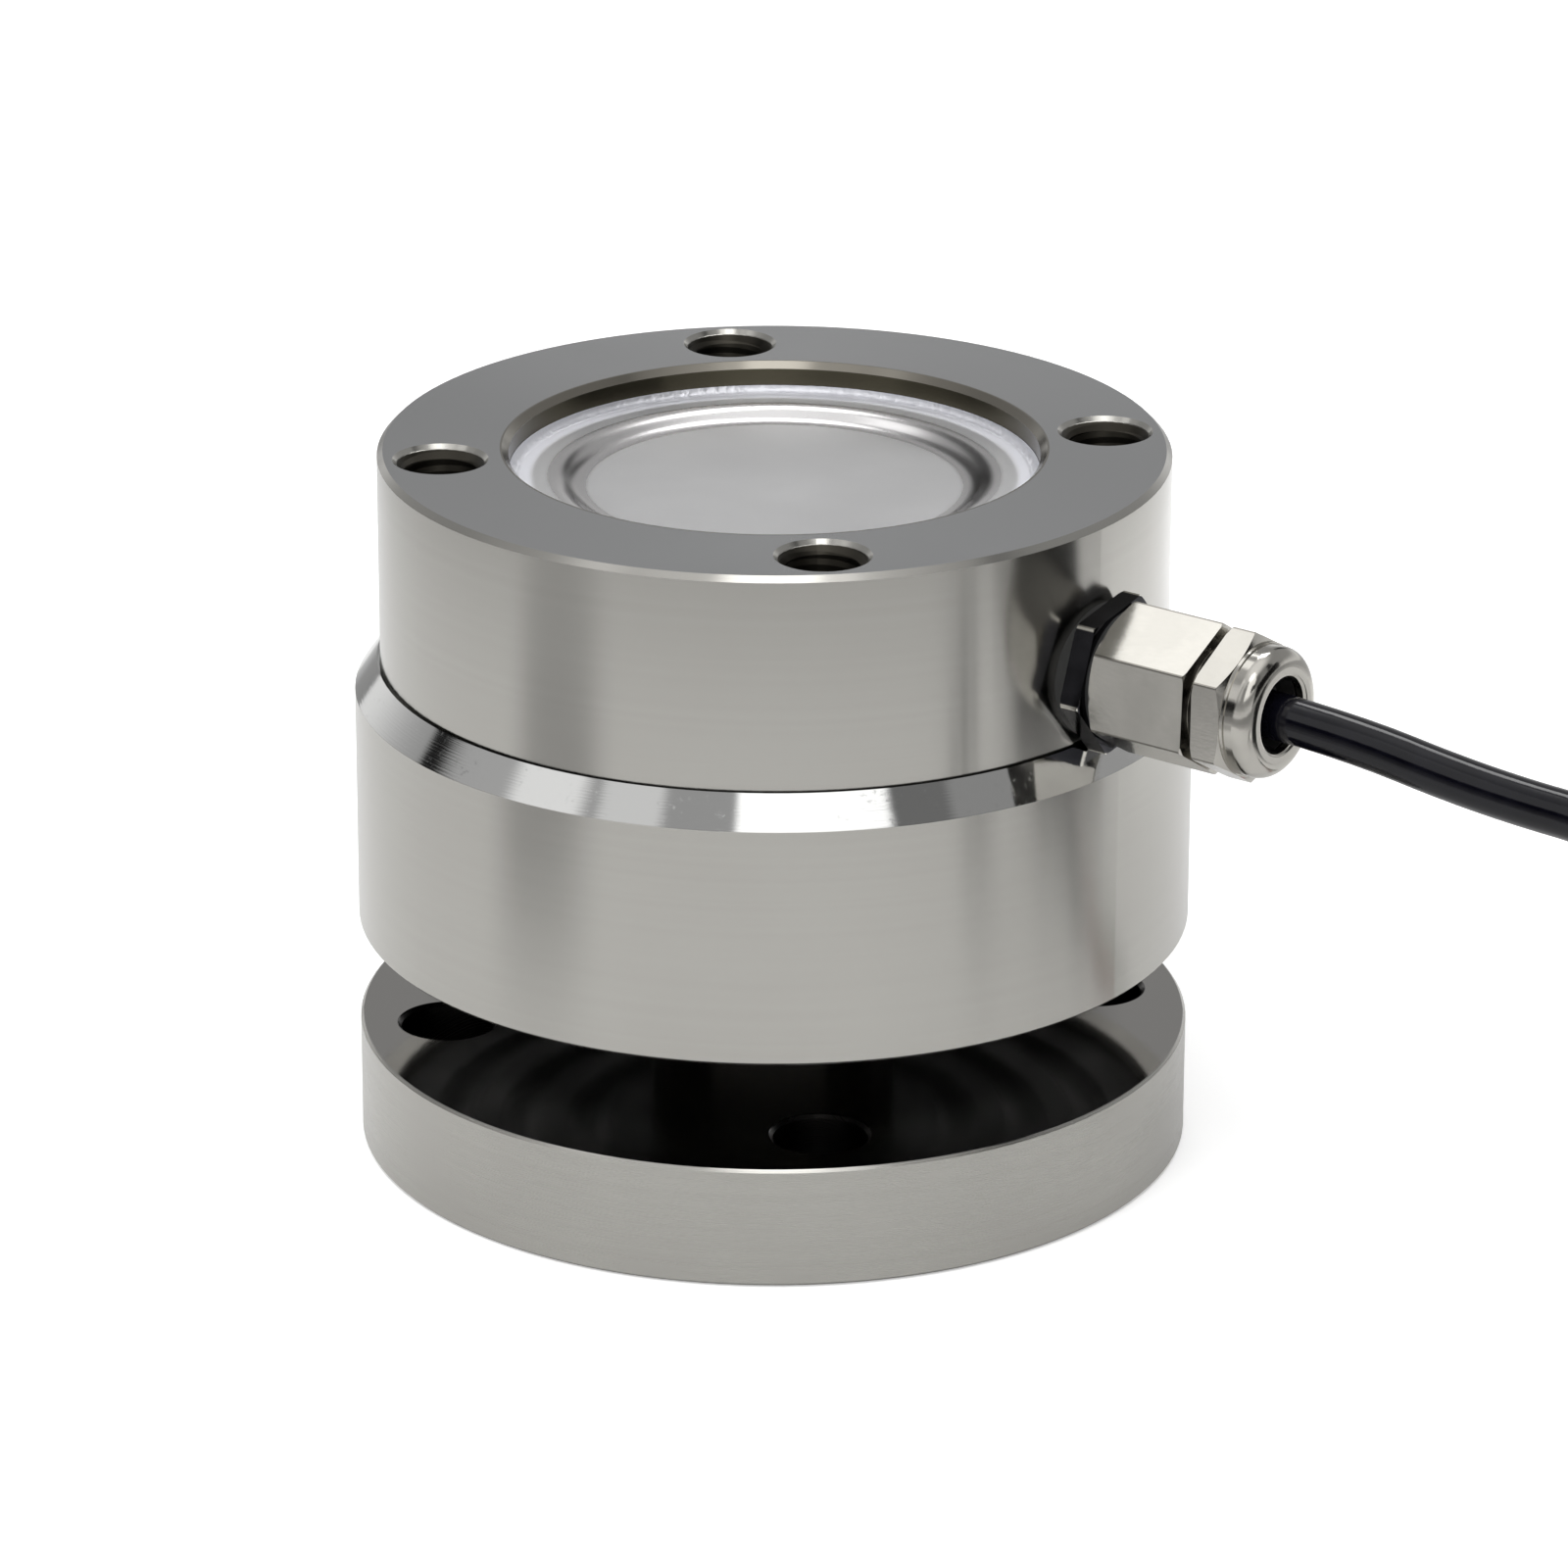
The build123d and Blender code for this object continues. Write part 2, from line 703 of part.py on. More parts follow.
# Clamping cage: a ring with fingers round the insert
cage_end_x = cage_x + cage_length
with BuildPart() as gland_clamp_cage:
    with BuildSketch(gland_profile):
        with BuildLine():
            Polyline(
                (cage_x, cage_bore),
                (cage_x, cage_radius),
                (cage_end_x - cage_tip_length, cage_radius),
                (cage_end_x, cage_radius - cage_tip_drop),
                (cage_end_x, cage_bore),
                close=True,
            )
        make_face()
    revolve(axis=gland_axis)
    with BuildSketch(gland_plane(cage_end_x - cage_slot_length)):
        with PolarLocations(cage_radius, cage_slot_count):
            Rectangle(3 * cage_wall, cage_slot)
    extrude(amount=cage_slot_length, mode=Mode.SUBTRACT)
gland_clamp_cage.part.label = "gland_clamp_cage"
export_step(gland_clamp_cage.part, "parts/gland_clamp_cage.step")

# Rubber insert, squeezed onto the cable
with BuildPart() as gland_seal_insert:
    with BuildSketch(gland_plane(cage_x)):
        Circle(cage_bore)
        Circle(cable_radius, mode=Mode.SUBTRACT)
    extrude(amount=insert_length)
    mouth = gland_seal_insert.faces().sort_by(Axis.X)[-1]
    chamfer(mouth.edges().sort_by(SortBy.RADIUS)[-1], insert_chamfer)
gland_seal_insert.part.label = "gland_seal_insert"
export_step(gland_seal_insert.part, "parts/gland_seal_insert.step")

# Cap nut: short hexagon, collar line, domed nose with a rounded hole
lip_x = cap_end_x - cap_lip
with BuildPart() as gland_cap_nut:
    with BuildSketch(gland_plane(cap_x)):
        RegularPolygon(hexagon_flats / 2, 6, major_radius=False, rotation=cap_turn)
    extrude(amount=cap_hexagon_length)
    disc = bevel_profile(cap_x, cap_hexagon_length, hexagon_flats, corner_bevel / 2, corner_bevel)
    revolve(disc.sketch, axis=gland_axis, mode=Mode.INTERSECT)
    with BuildSketch(gland_profile):
        with BuildLine():
            nose_side = Polyline(
                (cap_x, 0),
                (cap_x, cap_nose_radius),
                (collar_x, cap_nose_radius),
                (collar_x, cap_collar_radius),
                (nose_x, cap_collar_radius),
                (nose_x, cap_nose_radius),
                (cap_end_x - cap_nose_rounding, cap_nose_radius),
            )
            nose_round = RadiusArc(
                nose_side @ 1, (cap_end_x, cap_nose_radius - cap_nose_rounding), cap_nose_rounding
            )
            Polyline(nose_round @ 1, (cap_end_x, 0), nose_side @ 0)
        make_face()
    revolve(axis=gland_axis)
    with BuildSketch(gland_profile):
        with BuildLine():
            hole_side = Polyline(
                (cap_x, 0),
                (cap_x, cap_bore),
                (spigot_end_x + cap_end_play, cap_bore),
                (spigot_end_x + cap_end_play, cage_radius + cage_slack),
                (lip_x, cage_bore + cage_slack),
                (lip_x, cap_hole_radius),
                (cap_end_x - cap_hole_rounding, cap_hole_radius),
            )
            hole_round = RadiusArc(
                hole_side @ 1, (cap_end_x, cap_hole_radius + cap_hole_rounding), -cap_hole_rounding
            )
            Polyline(hole_round @ 1, (cap_end_x, 0), hole_side @ 0)
        make_face()
    revolve(axis=gland_axis, mode=Mode.SUBTRACT)
gland_cap_nut.part.label = "gland_cap_nut"
export_step(gland_cap_nut.part, "parts/gland_cap_nut.step")

# Cores inside, from the jacket's end through the gland bore down to the board
with BuildPart() as inner_cores:
    for side in (-1, 1):
        for level in (-1, 1):
            core_y = side * core_pitch_radius
            core_z = gland_z + level * core_rise
            turn_x = board_radius - core_landing - level * core_step
            core = round_tube(
                [
                    (cable_points[0][0], core_y, core_z),
                    (turn_x, core_y, core_z),
                    (turn_x, core_y, board_top_z),
                ],
                core_radius,
                [2 * core_radius],
            )
            add(core.part)
inner_cores.part.label = "inner_cores"
export_step(inner_cores.part, "parts/inner_cores.step")

# Cable from the gland to the coil
cable = round_tube(cable_points, cable_radius)
cable.part.label = "cable"
export_step(cable.part, "parts/cable.step")
print("cable radii", [round(radius, 1) for radius in corner_radii(cable_points)])

# Coil: the outer shape of its turns, with the two straight leads that run into it
turn_pitch = 2 * cable_radius
coil_half_width = coil_turns_wide * cable_radius + coil_slack
coil_height = coil_turns_high * turn_pitch + 2 * coil_slack
coil_z = tie_thickness + coil_height / 2
coil_outer = coil_mean_radius + coil_half_width
coil_axis = Axis((coil_centre[0], coil_centre[1], 0), (0, 0, 1))


def coil_section(angle):
    """Upright plane through the coil's axis, its own X pointing out at this angle."""
    across = (math.cos(math.radians(angle)), math.sin(math.radians(angle)), 0)
    return Plane(
        origin=(coil_centre[0], coil_centre[1], 0), x_dir=across, z_dir=(across[1], -across[0], 0)
    )


with BuildPart() as cable_coil:
    with BuildSketch(coil_section(0)):
        with Locations((coil_mean_radius, coil_z)):
            RectangleRounded(2 * coil_half_width, coil_height, cable_radius)
    revolve(axis=coil_axis)
    for end in (cable_points[-1], tail_points[0]):
        with BuildSketch(Plane(origin=end, x_dir=(0, 1, 0), z_dir=(1, 0, 0))):
            Circle(cable_radius)
        extrude(amount=coil_lead)
cable_coil.part.label = "cable_coil"
export_step(cable_coil.part, "parts/cable_coil.step")

# Two ties round the coil, each with its head on the outside
tie_turn = math.degrees(tie_width / coil_mean_radius)
with BuildPart() as coil_ties:
    for tie_angle in tie_angles:
        with BuildSketch(coil_section(tie_angle - tie_turn / 2)):
            with Locations((coil_mean_radius, coil_z)):
                RectangleRounded(
                    2 * (coil_half_width + tie_thickness),
                    coil_height + 2 * tie_thickness,
                    cable_radius + tie_thickness,
                )
                RectangleRounded(
                    2 * coil_half_width, coil_height, cable_radius, mode=Mode.SUBTRACT
                )
        revolve(axis=coil_axis, revolution_arc=tie_turn)
        with BuildSketch(coil_section(tie_angle)):
            with Locations((coil_outer + (tie_thickness + tie_head_depth) / 2, coil_z)):
                Rectangle(tie_head_depth, tie_head_height)
        extrude(amount=tie_head_width / 2, both=True)
coil_ties.part.label = "coil_ties"
export_step(coil_ties.part, "parts/coil_ties.step")

# Tail of the cable, from the coil's top turn to the ground
cable_tail = round_tube(tail_points, cable_radius)
cable_tail.part.label = "cable_tail"
export_step(cable_tail.part, "parts/cable_tail.step")
print("tail radii", [round(radius, 1) for radius in corner_radii(tail_points)])

# Shrunk sleeve over the jacket's end
tail_end = Vector(*tail_points[-1])
tail_way = (tail_end - Vector(*tail_points[-2])).normalized()
sleeve_side = Vector(0, 0, 1).cross(tail_way).normalized()
sleeve_plane = Plane(origin=tail_end, x_dir=tail_way, z_dir=sleeve_side)
sleeve_radius = cable_radius + sleeve_wall
nose_end = sleeve_taper + sleeve_nose
with BuildPart() as cable_end_sleeve:
    with BuildSketch(sleeve_plane):
        with BuildLine():
            Polyline(
                (-sleeve_overlap, cable_radius),
                (-sleeve_overlap, sleeve_radius),
                (sleeve_step, sleeve_radius),
                (sleeve_taper, sleeve_nose_radius),
                (nose_end, sleeve_nose_radius),
                (nose_end, sleeve_nose_radius - sleeve_wall),
                (sleeve_taper, sleeve_nose_radius - sleeve_wall),
                (sleeve_step, cable_radius),
                close=True,
            )
        make_face()
    revolve(axis=Axis(tail_end, tail_way))
cable_end_sleeve.part.label = "cable_end_sleeve"
export_step(cable_end_sleeve.part, "parts/cable_end_sleeve.step")

# Free leads: four cores and the shield's drain wire, fanned out on the ground
tips = []
for name, start_angle, spread in zip(lead_names, lead_start_angles, lead_spread):
    angle = math.radians(start_angle)
    start_side = core_pitch_radius * math.cos(angle)
    start_rise = core_pitch_radius * math.sin(angle)
    start = tail_end - sleeve_side * start_side + sleeve_plane.y_dir * start_rise
    straight = start + tail_way * lead_runs[0]
    middle_x = straight.X - lead_runs[1]
    lead_points = [
        start,
        straight,
        Vector(middle_x, straight.Y + lead_fan[0] * spread, lead_heights[0]),
        Vector(middle_x - lead_runs[2], straight.Y + lead_fan[1] * spread, lead_heights[1]),
    ]
    core = round_tube(lead_points, core_radius)
    core.part.label = name
    export_step(core.part, f"parts/{name}.step")
    tips.append((lead_points[-1], (lead_points[-1] - lead_points[-2]).normalized()))

# Bare tinned ends of the leads
with BuildPart() as tinned_ends:
    for tip, way in tips:
        with BuildSketch(Plane(origin=tip, z_dir=way)):
            Circle(tinned_radius)
        extrude(amount=tinned_length)
tinned_ends.part.label = "tinned_ends"
export_step(tinned_ends.part, "parts/tinned_ends.step")
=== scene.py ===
import math

import bpy
from mathutils import Matrix, Vector


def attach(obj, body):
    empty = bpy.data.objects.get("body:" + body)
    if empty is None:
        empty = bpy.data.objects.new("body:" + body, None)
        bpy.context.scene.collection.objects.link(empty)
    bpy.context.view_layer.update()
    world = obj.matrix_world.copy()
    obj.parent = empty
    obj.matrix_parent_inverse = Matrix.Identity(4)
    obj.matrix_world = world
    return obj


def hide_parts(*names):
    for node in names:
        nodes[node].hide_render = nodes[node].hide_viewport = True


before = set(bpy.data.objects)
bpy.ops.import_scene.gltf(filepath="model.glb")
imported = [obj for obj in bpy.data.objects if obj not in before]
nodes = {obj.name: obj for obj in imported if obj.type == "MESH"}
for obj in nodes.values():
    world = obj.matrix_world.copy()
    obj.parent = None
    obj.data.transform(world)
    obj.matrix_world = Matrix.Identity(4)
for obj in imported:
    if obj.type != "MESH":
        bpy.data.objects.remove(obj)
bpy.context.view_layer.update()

scene = bpy.context.scene

# Camera, solved from the ellipses in the photograph
LENS_MM = 177.96
SENSOR_MM = 36.0
EYE = Vector((0.60659, -0.80497, 0.43796))
RIGHT = Vector((0.798887, 0.601476, 0.002551))
UP = Vector((-0.217869, 0.285418, 0.933311))
BACK = Vector((0.560636, -0.746166, 0.359060))

camera_data = bpy.data.cameras.new("camera")
camera_data.lens = LENS_MM
camera_data.sensor_width = SENSOR_MM
camera_data.clip_start = 0.01
camera_data.clip_end = 50.0
camera = bpy.data.objects.new("camera", camera_data)
scene.collection.objects.link(camera)
scene.camera = camera
camera.matrix_world = Matrix(
    (
        (RIGHT.x, UP.x, BACK.x, EYE.x),
        (RIGHT.y, UP.y, BACK.y, EYE.y),
        (RIGHT.z, UP.z, BACK.z, EYE.z),
        (0.0, 0.0, 0.0, 1.0),
    )
)

# The cable: one spline from the gland to the floor, round the coil and out to the end sleeve.
# Its control points are in millimetres, and turned to metres when the spline is filled.
CABLE_RADIUS = 3.25
TURN_PITCH = 2 * CABLE_RADIUS
GROUND_HEIGHT = 4.75
COIL_CENTRE = (258.0, 18.0)
COIL_MIDDLE_RADIUS = 37.4
COIL_LAYERS = 4
COIL_TURNS = 11.5
POINTS_PER_TURN = 16
# a turn moves over to its next place in its last sixth
TURN_SIXTHS = 6

cable_points = [
    (66.0, 0.0, 79.5),
    (91.0, 0.0, 79.5),
    (116.0, 0.0, 76.0),
    (140.0, 0.0, 75.5),
    (165.0, -5.5, 58.8),
    (178.0, -16.0, 24.0),
    (203.0, -25.9, GROUND_HEIGHT),
    (232.0, -25.9, GROUND_HEIGHT),
]
tail_points = [
    (232.0, 61.9, 24.25),
    (212.0, 61.9, 24.25),
    (192.5, 63.0, 14.5),
    (173.0, 64.0, 5.2),
    (153.5, 66.0, 3.85),
]


def coil_route():
    """Control points of the wound length: layers of three turns, in and out by turns."""
    inward = [COIL_MIDDLE_RADIUS + TURN_PITCH, COIL_MIDDLE_RADIUS, COIL_MIDDLE_RADIUS - TURN_PITCH]
    places = []
    for layer in range(COIL_LAYERS):
        for ring_radius in inward if layer % 2 == 0 else inward[::-1]:
            places.append((ring_radius, GROUND_HEIGHT + TURN_PITCH * layer))
    step = 2 * math.pi / POINTS_PER_TURN
    route = []
    for index in range(int(COIL_TURNS * POINTS_PER_TURN)):
        turn = (index + 0.5) / POINTS_PER_TURN
        lap = int(turn)
        here = places[lap]
        after = places[min(lap + 1, len(places) - 1)]
        blend = max(0.0, (turn - lap - (TURN_SIXTHS - 1) / TURN_SIXTHS) * TURN_SIXTHS)
        blend = blend * blend * (3 - 2 * blend)
        ring_radius = here[0] + (after[0] - here[0]) * blend
        height = here[1] + (after[1] - here[1]) * blend
        angle = -math.pi / 2 + step * (index + 0.5)
        # control points lie a little outside the round that they make
        reach = ring_radius / math.cos(step / 2)
        route.append(
            (
                COIL_CENTRE[0] + reach * math.cos(angle),
                COIL_CENTRE[1] + reach * math.sin(angle),
                height,
            )
        )
    return route


def round_cable(name, points, radius):
    """A smooth round cable along a spline with these control points, in millimetres."""
    data = bpy.data.curves.new(name, "CURVE")
    data.dimensions = "3D"
    # the depth is a metre and each point's radius scales it to the cable's own
    data.bevel_depth = 1.0
    data.bevel_resolution = 5
    data.resolution_u = 8
    data.use_fill_caps = True
    spline = data.splines.new("NURBS")
    spline.points.add(len(points) - 1)
    for place, point in zip(spline.points, points):
        place.co = (point[0] / 1000, point[1] / 1000, point[2] / 1000, 1.0)
        place.radius = radius / 1000
    spline.order_u = 3
    spline.use_endpoint_u = True
    obj = bpy.data.objects.new(name, data)
    scene.collection.objects.link(obj)
    return obj


cable = round_cable("signal_cable", cable_points + coil_route() + tail_points, CABLE_RADIUS)
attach(cable, "root")
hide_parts("cable", "cable_coil", "cable_tail")


class Graph:
    """A node tree, with short names for what the materials, the floor and the world use."""

    def __init__(self, tree):
        self.tree = tree
        tree.nodes.clear()

    def node(self, kind, **settings):
        made = self.tree.nodes.new(kind)
        for key, value in settings.items():
            setattr(made, key, value)
        return made

    def link(self, source, target):
        self.tree.links.new(source, target)

    def put(self, value, socket):
        """Sets the socket to a number, or links it to another socket."""
        if isinstance(value, (int, float)):
            socket.default_value = value
        else:
            self.link(value, socket)

    def axes(self, vector):
        made = self.node("ShaderNodeSeparateXYZ")
        self.link(vector, made.inputs[0])
        return tuple(made.outputs)

    def math(self, operation, first, second=None):
        made = self.node("ShaderNodeMath", operation=operation)
        self.put(first, made.inputs[0])
        if second is not None:
            self.put(second, made.inputs[1])
        return made.outputs[0]

    def add(self, first, second):
        return self.math("ADD", first, second)

    def take(self, first, second):
        return self.math("SUBTRACT", first, second)

    def times(self, first, second):
        return self.math("MULTIPLY", first, second)

    def most(self, first, second):
        return self.math("MAXIMUM", first, second)

    def rest(self, share):
        return self.take(1.0, share)

    def length(self, x, y):
        return self.math("SQRT", self.add(self.times(x, x), self.times(y, y)))

    def spread(self, value, low, high, to_low=0.0, to_high=1.0):
        """Goes smoothly from to_low to to_high while the value goes from low to high."""
        made = self.node("ShaderNodeMapRange", interpolation_type="SMOOTHSTEP")
        self.link(value, made.inputs[0])
        for socket, number in zip(made.inputs[1:5], (low, high, to_low, to_high)):
            socket.default_value = number
        return made.outputs[0]

    def above(self, value, level, soft=0.0001):
        """One where the value is above the level, nought below."""
        return self.spread(value, level - soft, level + soft)

    def below(self, value, level, soft=0.0001):
        return self.rest(self.above(value, level, soft))

    def band(self, value, low, low_full, high_full, high):
        """One from low_full to high_full, fading to nought at low and at high."""
        rise = self.spread(value, low, low_full)
        return self.times(rise, self.spread(value, high_full, high, 1.0, 0.0))

    def tint(self, share, first, second):
        """The first colour where the share is nought, the second where it is one."""
        made = self.node("ShaderNodeMix", data_type="RGBA")
        self.link(share, made.inputs["Factor"])
        for socket, value in zip((made.inputs[6], made.inputs[7]), (first, second)):
            if isinstance(value, tuple):
                socket.default_value = (*value, 1.0)
            else:
                self.link(value, socket)
        return made.outputs[2]


class Paint(Graph):
    """One material: a Principled shader and the nodes that feed it."""

    def __init__(self, name, colour, metallic, roughness):
        self.material = bpy.data.materials.new(name)
        self.material.use_nodes = True
        super().__init__(self.material.node_tree)
        out = self.node("ShaderNodeOutputMaterial")
        self.shader = self.node("ShaderNodeBsdfPrincipled")
        self.link(self.shader.outputs[0], out.inputs[0])
        self.set("Base Color", (*colour, 1.0))
        self.set("Metallic", metallic)
        self.set("Roughness", roughness)
        self.place = self.node("ShaderNodeTexCoord").outputs["Object"]
        self.x, self.y, self.z = self.axes(self.place)

    def set(self, socket, value):
        self.shader.inputs[socket].default_value = value

    def feed(self, socket, source):
        self.link(source, self.shader.inputs[socket])

    def recolour(self, share, colour):
        """Changes the base colour to this one where the share is one."""
        so_far = self.shader.inputs["Base Color"].links[0].from_socket
        self.feed("Base Color", self.tint(share, so_far, colour))

    def noise(self, scale, detail=2.0, vector=None, along=None, roughness=0.5):
        made = self.node("ShaderNodeTexNoise")
        if along is not None:
            made.noise_dimensions = "1D"
            self.link(along, made.inputs["W"])
        else:
            self.link(vector or self.place, made.inputs["Vector"])
        made.inputs["Scale"].default_value = scale
        made.inputs["Detail"].default_value = detail
        made.inputs["Roughness"].default_value = roughness
        return made.outputs[0]

    def stretched(self, x_scale, y_scale, z_scale):
        """The place, stretched along each axis."""
        made = self.node("ShaderNodeCombineXYZ")
        scales = (x_scale, y_scale, z_scale)
        for socket, axis, scale in zip(made.inputs, (self.x, self.y, self.z), scales):
            self.link(self.times(axis, scale), socket)
        return made.outputs[0]

    def bump(self, height, strength, distance):
        made = self.node("ShaderNodeBump")
        made.inputs["Strength"].default_value = strength
        made.inputs["Distance"].default_value = distance
        self.link(height, made.inputs["Height"])
        self.feed("Normal", made.outputs[0])


def wear(paint, *names):
    """Gives frame nodes this material."""
    for name in names:
        obj = nodes[name]
        obj.data.materials.clear()
        obj.data.materials.append(paint.material)


# Metals
WALL = (0.435, 0.427, 0.402)
# a cool tint for the upward faces: a painted reflection
FACE_REFLECTION_TINT = (0.43, 0.435, 0.44)
BOLT_XY = 0.0325269
GLAND_Z = 0.0795
FINE_RINGS = 5200.0
BROAD_RINGS = 420.0


def turned_steel(name, roughness, anisotropy, line_depth=0.0):
    """Steel turned on a lathe: fine rings on flat faces, fine lines round the walls."""
    made = Paint(name, WALL, 1.0, roughness)
    radius = made.length(made.x, made.y)
    along = made.add(radius, made.times(made.z, 1.7))
    fine = made.noise(FINE_RINGS, 3.0, along=along)
    broad = made.noise(BROAD_RINGS, 2.0, along=along)
    cloud = made.noise(38.0, 3.0)
    gloss = made.add(made.times(fine, 0.05), made.times(cloud, 0.09))
    gloss = made.add(gloss, roughness - 0.07)
    shade = made.add(made.times(broad, 0.25), made.times(cloud, 0.75))
    darker = (WALL[0] * 0.97, WALL[1] * 0.965, WALL[2] * 0.96)
    lighter = (WALL[0] * 1.03, WALL[1] * 1.03, WALL[2] * 1.025)
    made.feed("Base Color", made.tint(made.spread(shade, 0.3, 0.7), darker, lighter))
    if line_depth:
        made.bump(fine, line_depth, 0.00004)
    # the gloss stretches across the grooves, which run round the axis
    made.set("Anisotropic", anisotropy)
    tangent = made.node("ShaderNodeTangent", direction_type="RADIAL", axis="Z")
    made.feed("Tangent", tangent.outputs[0])
    made.set("Anisotropic Rotation", 0.25)
    return made, gloss, radius


def bolt_holes(paint, radius):
    """One inside the four bolt holes, and the place from the nearest hole's axis."""
    off_x = paint.take(paint.math("ABSOLUTE", paint.x), BOLT_XY)
    off_y = paint.take(paint.math("ABSOLUTE", paint.y), BOLT_XY)
    return paint.below(paint.length(off_x, off_y), radius, 0.00006), off_x, off_y


# Housing: satin wall, mirror-bright chamfer with a few scuffs
paint, rough, radius = turned_steel("housing_steel", 0.21, 0.8, 0.10)
chamfer = paint.above(paint.z, 0.06562)
scuffs = paint.spread(paint.noise(900.0, 5.0, roughness=0.7), 0.56, 0.72)
bright = paint.add(paint.times(scuffs, 0.16), 0.07)
rough = paint.add(paint.times(rough, paint.rest(chamfer)), paint.times(bright, chamfer))
paint.feed("Roughness", rough)
paint.recolour(chamfer, (0.63, 0.63, 0.62))
wear(paint, "outer_housing")

# Column body: satin wall, smoother flange face with a painted cool reflection, painted brown shade
# on the recess wall and greyer painted shade on its bevel, painted shade on column and foot and in
# the thread-lined bolt holes
paint, rough, radius = turned_steel("column_steel", 0.19, 0.8)
upward = paint.axes(paint.node("ShaderNodeNewGeometry").outputs["True Normal"])[2]
face = paint.above(upward, 0.9, 0.02)
shaded_recess = paint.times(paint.below(radius, 0.0368), paint.below(paint.z, 0.0992))
foot = paint.below(paint.z, 0.0325)
shaded_hole, off_x, off_y = bolt_holes(paint, 0.00602)
bevel_shade = paint.times(paint.below(radius, 0.03765, 0.00008), paint.above(paint.z, 0.09905, 0.00004))
# painted reflection: the upward faces are tinted cool
paint.recolour(face, FACE_REFLECTION_TINT)
# painted shade: the recess wall is painted dark brown
paint.recolour(shaded_recess, (0.108, 0.098, 0.070))
# painted shade: the column and foot under the housing are painted darker
paint.recolour(foot, (0.15, 0.145, 0.13))
# painted shade: the inside of the bolt holes is painted near black
paint.recolour(shaded_hole, (0.050, 0.046, 0.038))
# painted shade: the recess bevel is painted darker than the steel, dimming its reflections
paint.recolour(bevel_shade, (0.24, 0.225, 0.195))
THREAD_PITCH = 0.00175
round_hole = paint.math("DIVIDE", paint.math("ARCTAN2", off_y, off_x), 2 * math.pi)
thread = paint.add(paint.math("DIVIDE", paint.z, THREAD_PITCH), round_hole)
thread = paint.math("ABSOLUTE", paint.take(paint.math("FRACT", thread), 0.5))
paint.bump(paint.times(thread, shaded_hole), 0.5, 0.0009)
calm = paint.rest(paint.times(face, 0.25))
paint.feed("Roughness", paint.add(paint.times(rough, calm), paint.times(shaded_hole, 0.25)))
wear(paint, "column_body")

# Base plate: satin edge, mirror-flat top painted darker, and darker still towards the column, as
# painted shade under the housing, painted shade in the bolt holes
paint, rough, radius = turned_steel("base_steel", 0.27, 0.75, 0.12)
top = paint.above(paint.z, 0.01693)
shaded_middle = paint.times(top, paint.spread(radius, 0.040, 0.050, 1.0, 0.0))
shaded_hole = bolt_holes(paint, 0.00708)[0]
# painted shade: the top is painted a little darker than the steel
paint.recolour(top, (0.37, 0.36, 0.345))
# painted shade: darker still under the housing, towards the column
paint.recolour(shaded_middle, (0.15, 0.145, 0.14))
# painted shade: the inside of the bolt holes is painted near black
paint.recolour(shaded_hole, (0.05, 0.048, 0.045))
paint.feed("Roughness", paint.times(rough, paint.rest(paint.times(top, 0.72))))
wear(paint, "base_plate")

# Cover: satin pressed sheet, smoother on its bend and painted darker there as painted shade that
# dims its reflections, milky and beaded along the weld
paint = Paint("cover_steel", (0.74, 0.74, 0.745), 1.0, 0.38)
radius = paint.length(paint.x, paint.y)
cloud = paint.noise(46.0, 3.0)
grain = paint.noise(2400.0, 2.0)
beads = paint.noise(700.0, 2.0)
shaded_bend = paint.times(paint.above(radius, 0.0258, 0.0004), paint.below(radius, 0.0312, 0.0004))
outer = paint.above(radius, 0.0334, 0.0006)
weld = paint.above(radius, 0.0352, 0.0003)
tone = paint.tint(paint.spread(cloud, 0.3, 0.7), (0.72, 0.72, 0.725), (0.77, 0.77, 0.775))
paint.feed("Base Color", tone)
paint.recolour(outer, (0.88, 0.885, 0.93))
# painted shade: the bend is painted darker to dim its reflections
paint.recolour(shaded_bend, (0.60, 0.59, 0.59))
rough = paint.add(paint.add(paint.times(cloud, 0.08), paint.times(grain, 0.05)), 0.29)
rough = paint.add(rough, paint.times(outer, 0.18))
paint.feed("Roughness", paint.take(rough, paint.times(shaded_bend, 0.13)))
paint.bump(paint.times(beads, weld), 0.8, 0.0004)
wear(paint, "top_cover")

# Lower plate: painted near black as painted shade under the housing
paint = Paint("painted_shade_sheet", (0.005, 0.005, 0.006), 0.0, 0.5)
paint.set("Specular IOR Level", 0.25)
paint.feed("Roughness", paint.spread(paint.noise(120.0, 4.0), 0.3, 0.7, 0.45, 0.65))
paint.bump(paint.noise(900.0, 3.0), 0.2, 0.0002)
wear(paint, "bottom_diaphragm")


def plated(name, colour, roughness, marks):
    """Plated and polished metal, darker by this factor in its patches, with fine rubbed marks."""
    made = Paint(name, colour, 1.0, roughness)
    streaks = made.noise(1.0, 4.0, vector=made.stretched(900.0, 2600.0, 2600.0))
    patches = made.noise(160.0, 3.0)
    gloss = made.add(made.times(streaks, 0.08), made.times(patches, 0.10))
    made.feed("Roughness", made.add(gloss, roughness - 0.09))
    shade = made.spread(patches, 0.35, 0.68)
    made.feed("Base Color", made.tint(shade, tuple(v * marks for v in colour), colour))
    made.bump(made.add(streaks, patches), 0.12, 0.00005)
    return made


def corners(paint, distance, soft):
    """One beyond this distance from the gland's axis, on a hexagon's corners."""
    return paint.above(paint.length(paint.y, paint.take(paint.z, GLAND_Z)), distance, soft)


